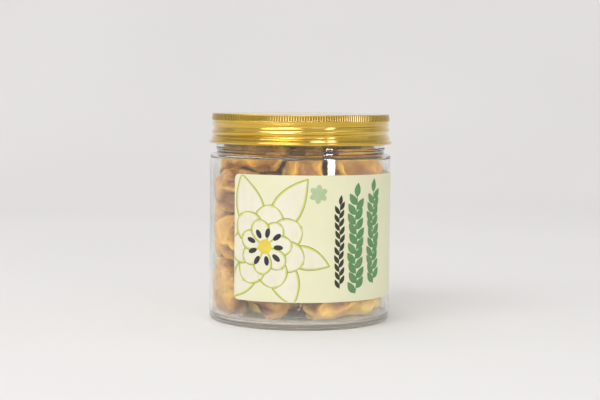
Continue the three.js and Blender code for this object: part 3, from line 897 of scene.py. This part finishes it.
def print_blossom():
    plates = []
    lift = 0.0
    for direction, length, width, foot in (
            (-28, 33, 15, (-17, 40)), (24, 34, 14, (-14, 40)), (150, 27, 14, (-13, 36)),
            (205, 26, 13, (-20, 36)), (98, 25, 11, (-10, 36))):
        grid, inset = leaf_grid(foot, direction, length, width, 0.25, 0.5, 0.9, 22, 9)
        add_plate(plates, fit_to_label(grid), lift, INK, inset)
        lift += INK_STEP / 2
    for ring, (length, width, turn) in enumerate(((19.5, 14.5, 6), (13.0, 9.5, 32))):
        for k in range(PETALS):
            direction = turn + 360 / PETALS * k
            grid, inset = leaf_grid(BLOSSOM, direction, length, width, 0.12, 0.62, 0.62, 22, 11)
            add_plate(plates, fit_to_label(grid), lift, INK, inset)
            lift += INK_STEP / 2
    return plates, lift


def fit_to_label(grid, margin=0.35):
    """Cuts a motif off where it would run past the label's left, lower or upper edge."""
    grid = np.array(grid)
    grid[..., 0] = np.maximum(grid[..., 0], LABEL_LEFT + margin)
    grid[..., 1] = np.clip(grid[..., 1], LABEL_LOW + margin, LABEL_HIGH - margin)
    return grid


def print_blossom_heart(lift):
    pollen, buds = [], []
    add_plate(pollen, disc_grid(BLOSSOM, 3.3), lift, INK)
    for k in range(BUDS):
        angle = 360 / BUDS * k + 12
        reach = 6.4 + 0.9 * (k % 2)
        across = BLOSSOM[0] + reach * math.sin(angle * DEGREE)
        up = BLOSSOM[1] + reach * math.cos(angle * DEGREE)
        add_plate(buds, disc_grid((across, up), 1.15, 1.9, angle), lift, INK)
    join_plates("print_blossom_heart", pollen, pollen_ink)
    join_plates("print_blossom_buds", buds, bud_ink)


blossom_plates, blossom_lift = print_blossom()
join_plates("print_blossom", blossom_plates, petal_ink)
print_blossom_heart(blossom_lift)

# %% [markdown]
# ## The printed garlands
# Two broad upright garlands of mid green leaves and one slim dark twig stand to
# the right of the blossom, with a small sage rosette above. Each is a stalk with
# leaves set alternately by a loop.

# %% Print the garlands
SWAY_RATE = 0.35
STALK_SHARE = 0.14


def print_garland(name, across, low, high, leaf, finish, lean, gap, sway=0.5):
    """leaf is its length and width, gap the step from leaf to leaf as a share of that width."""
    length, width = leaf
    plates = []
    stalk = [(across + sway * math.sin(h * SWAY_RATE), h) for h in np.linspace(low, high, 40)]
    add_plate(plates, stalk_grid(stalk, STALK_SHARE * width), 0, INK)
    count = int((high - low - length * 0.5) / (width * gap))
    for k in range(count + 1):
        height = low + 0.5 + (high - low - length * 0.6) * k / count
        foot = (across + sway * math.sin(height * SWAY_RATE), height)
        side = 1 if k % 2 else -1
        grid, _ = leaf_grid(foot, side * lean, length, width, -0.35 * side, 0.45, 0.9)
        add_plate(plates, grid, INK_STEP, INK)
    tip, _ = leaf_grid(stalk[-1], 4, length, width, 0.1, 0.45, 0.9)
    add_plate(plates, tip, INK_STEP, INK)
    return join_plates(name, plates, finish)


def print_rosette(name, centre, petals, length, finish):
    plates = []
    for k in range(petals):
        grid, _ = leaf_grid(centre, 360 / petals * k, length, length * 0.62, 0.2, 0.6, 0.7)
        add_plate(plates, grid, 0.001 * k, INK)
    add_plate(plates, disc_grid(centre, length * 0.2), INK_STEP, INK)
    return join_plates(name, plates, finish)


print_garland("print_dark_twig", 18.6, 19.0, 57.0, (4.6, 1.9), twig_ink, 40, 0.95, 0.25)
print_garland("print_garland_left", 27.4, 16.5, 60.5, (6.6, 3.5), leaf_ink, 50, 0.62)
print_garland("print_garland_right", 38.4, 20.5, 62.5, (6.2, 3.3), leaf_ink, 50, 0.62)
print_rosette("print_rosette", (8.4, 62.0), 6, 4.4, sage_ink)

# %% [markdown]
# ## Soft dried fruit
# The fruit is half-dried slices, folded and pressed together in the jar. Its
# colour comes from slow patches. A painted mauve shade darkens the hollows of
# the skin and thins out near the top of the heap, and a painted shade for the
# lid's shadow tints the top of the heap deeper yellow. A little light travels
# under the skin, and a thin coat stands for the sugar on it.

# %% Finish of the fruit
# Painted shade: this mauve tint darkens the hollows of the skin.
FRUIT_HOLLOW_SHADE_TINT = (0.52, 0.39, 0.38)
# Painted shade: this tint stands for the lid's shadow over the top of the heap.
FRUIT_LID_SHADE_TINT = (1.0, 0.95, 0.72)
LID_SHADE_FROM, LID_SHADE_TO = 62, 82


def make_fruit_finish(name, light, middle, dark):
    finish, tree, shader = new_finish(name, 0.42)
    patches = add_noise(tree, 11, detail=5.0)
    skin = add_ramp(tree, patches, [(0.32, dark), (0.5, middle), (0.66, light)])
    # Painted shade: the hollow shade attribute darkens the sunk cells towards mauve.
    hollow_shade = tree.nodes.new("ShaderNodeAttribute")
    hollow_shade.attribute_name = "hollow_shade"
    shade = add_ramp(tree, hollow_shade.outputs["Fac"], [(0.2, WHITE), (0.65, FRUIT_HOLLOW_SHADE_TINT)])
    place = tree.nodes.new("ShaderNodeNewGeometry")
    part = tree.nodes.new("ShaderNodeSeparateXYZ")
    tree.links.new(place.outputs["Position"], part.inputs["Vector"])
    # Painted shade: the fruit tints deeper towards the top, under the lid.
    under_lid = add_range(tree, part.outputs["Z"], 0, 1, source=(LID_SHADE_FROM * MM, LID_SHADE_TO * MM))
    lid_shade = add_ramp(tree, under_lid, [(0, WHITE), (1, FRUIT_LID_SHADE_TINT)])
    colour = multiply(tree, multiply(tree, skin, shade), lid_shade)
    tree.links.new(colour, shader.inputs["Base Color"])
    shader.inputs["Subsurface Weight"].default_value = 0.35
    shader.inputs["Subsurface Radius"].default_value = (1.0, 0.5, 0.2)
    shader.inputs["Subsurface Scale"].default_value = 2.5 * MM
    shader.inputs["Coat Weight"].default_value = 0.25
    shader.inputs["Coat Roughness"].default_value = 0.3
    fibres = add_noise(tree, 1.2, detail=5.0, stretch=(1, 1, 2.2))
    tree.links.new(add_range(tree, fibres, 0.34, 0.52), shader.inputs["Roughness"])
    add_bump(tree, shader, fibres, 0.4, 0.8)
    return finish


fruit_finishes = {
    "fruit_tan": make_fruit_finish(
        "fruit_tan", srgb(238, 210, 118), srgb(228, 192, 92), srgb(200, 152, 62)),
    "fruit_amber": make_fruit_finish(
        "fruit_amber", srgb(238, 192, 72), srgb(228, 174, 50), srgb(196, 136, 34)),
    "fruit_brown": make_fruit_finish(
        "fruit_brown", srgb(226, 186, 86), srgb(210, 160, 62), srgb(172, 118, 46)),
}
print("fruit finishes:", list(fruit_finishes))

# %% [markdown]
# ## Hollows and ridges
# Each plain solid of the frame is a start. Its faces are split and rounded by
# subdivision, and pulled back most of the way to the solid. Then the skin swells
# a little into the gap between the pieces, so that neighbours nearly touch, and
# sinks in cells. A point belongs to the cell whose middle is nearest, and lies
# deeper the further it is from the next cell, which leaves sharp ridges between
# the cells. Slow noise makes the ridges wander, and fine noise wrinkles the skin.
# Blender starts its noise from the clock, so a fixed seed keeps each run alike.

# %% Measures of the folds
FOLD_SEED = 5
noise.seed_set(FOLD_SEED)
FRUIT_SMOOTHING = 3
BACK_TO_SOLID = 0.85
FRUIT_SWELL = 0.4
NOISE_STEP = Vector((3.7, 1.9, 5.3))
HEADING_STEP, RISE_STEP, MIDDLE_STEP = 2.4, 1.7, 37
CELLS = 11
CELL_DEPTH = 4.2
CELL_RIM = 7.0
CELL_SHARES = (1.0, 0.2, 0.4, 0.14, 0.85, 0.3, 0.16)
CELL_STRETCH = 0.4
# Above PALE_ABOVE the painted shade in the hollows thins out, down to PALEST.
PALE_ABOVE, PALE_OVER, PALEST = 68, 14, 0.3
WANDER, WANDER_GRAIN = 4.0, 11.0
RAGGED, RAGGED_GRAIN = 0.9, 3.0
WRINKLE_DEPTH, WRINKLE_GRAIN = 0.35, 2.6
print("cells on each piece:", CELLS)


# %% Fold the skin into cells
def cell_middles(points, start):
    """Points spread as far from one another as they can be, the first one given by its number."""
    chosen = [start % len(points)]
    nearest = np.linalg.norm(points - points[chosen[0]], axis=1)
    while len(chosen) < CELLS:
        chosen.append(int(np.argmax(nearest)))
        nearest = np.minimum(nearest, np.linalg.norm(points - points[chosen[-1]], axis=1))
    return points[chosen]


def hollowed(points, middles, along, index):
    """How far each point is sunk, from 0 on a ridge between two cells to 1 in the deepest cell."""
    flat = points - CELL_STRETCH * (points @ along)[:, None] * along
    flat_middles = middles - CELL_STRETCH * (middles @ along)[:, None] * along
    away = np.linalg.norm(flat[:, None] - flat_middles[None], axis=2)
    owner = np.argmin(away, axis=1)
    first, second = np.sort(away, axis=1)[:, :2].T
    share = np.clip((second - first) / CELL_RIM, 0, 1)
    depth = np.resize(np.roll(CELL_SHARES, index), CELLS)[owner]
    return (1 - (1 - share) ** 2) * depth


def wandered(points, offset, grain, reach):
    """Each point moved by a slow noise, so that no ridge runs straight."""
    return points + reach * np.array([noise.noise_vector(Vector(p) / grain + offset) for p in points])


def wrinkled(points, offset):
    return np.array([2 * abs(noise.noise(Vector(p) / WRINKLE_GRAIN + offset)) for p in points])


# %% Round and fold the pieces
def round_solid(name, source):
    """A copy of a solid of the frame with its faces split, its edges rounded and its bulk kept."""
    piece = bpy.data.objects.new(name, source.data.copy())
    piece.data.materials.clear()
    bpy.context.scene.collection.objects.link(piece)
    tidy_mesh(piece, 1e-6)
    rounding = piece.modifiers.new("rounding", "SUBSURF")
    rounding.levels = FRUIT_SMOOTHING
    graph = bpy.context.evaluated_depsgraph_get()
    piece.data = bpy.data.meshes.new_from_object(piece.evaluated_get(graph))
    piece.modifiers.clear()
    corners = [v.co for v in source.data.vertices]
    solid = BVHTree.FromPolygons(corners, [p.vertices for p in source.data.polygons])
    for vertex in piece.data.vertices:
        vertex.co = vertex.co.lerp(solid.find_nearest(vertex.co)[0], BACK_TO_SOLID)
    piece.data.update()
    return piece


def make_fruit(node, index):
    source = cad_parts[node]
    piece = round_solid("dried_" + node, source)
    mesh = piece.data
    offset = NOISE_STEP * (index + 1)
    heading = index * HEADING_STEP
    along = np.array((math.cos(heading), math.sin(heading), math.sin(RISE_STEP * index)))
    along /= np.linalg.norm(along)
    points = np.array([v.co for v in mesh.vertices]) / MM
    normals = np.array([v.normal for v in mesh.vertices])
    middles = cell_middles(np.array([v.co for v in source.data.vertices]) / MM, index * MIDDLE_STEP)
    moved = wandered(wandered(points, offset, WANDER_GRAIN, WANDER), offset, RAGGED_GRAIN, RAGGED)
    sunk = hollowed(moved, middles, along, index)
    inwards = CELL_DEPTH * sunk + WRINKLE_DEPTH * wrinkled(points, offset) - FRUIT_SWELL
    points -= normals * inwards[:, None]
    mesh.vertices.foreach_set("co", (points * MM).ravel())
    paler = np.clip((PALE_ABOVE + PALE_OVER - points[:, 2]) / PALE_OVER, PALEST, 1)
    # Painted shade: how sunk each point is, thinned towards the top, darkens its colour in the finish.
    hollow_shade = mesh.attributes.new("hollow_shade", "FLOAT", "POINT")
    hollow_shade.data.foreach_set("value", (sunk * paler).astype(np.float32))
    mesh.update()
    mesh.shade_smooth()
    return piece


fruit_nodes = sorted(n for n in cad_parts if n.startswith("fruit_"))
fruit_slots = list(fruit_finishes)
for index, node in enumerate(fruit_nodes):
    fruit = make_fruit(node, index)
    slot = fruit_slots[index % len(fruit_slots)]
    fruit.data.materials.append(fruit_finishes[slot])
    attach(fruit, "jar")
    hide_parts(node)
print("fruit pieces:", len(fruit_nodes))
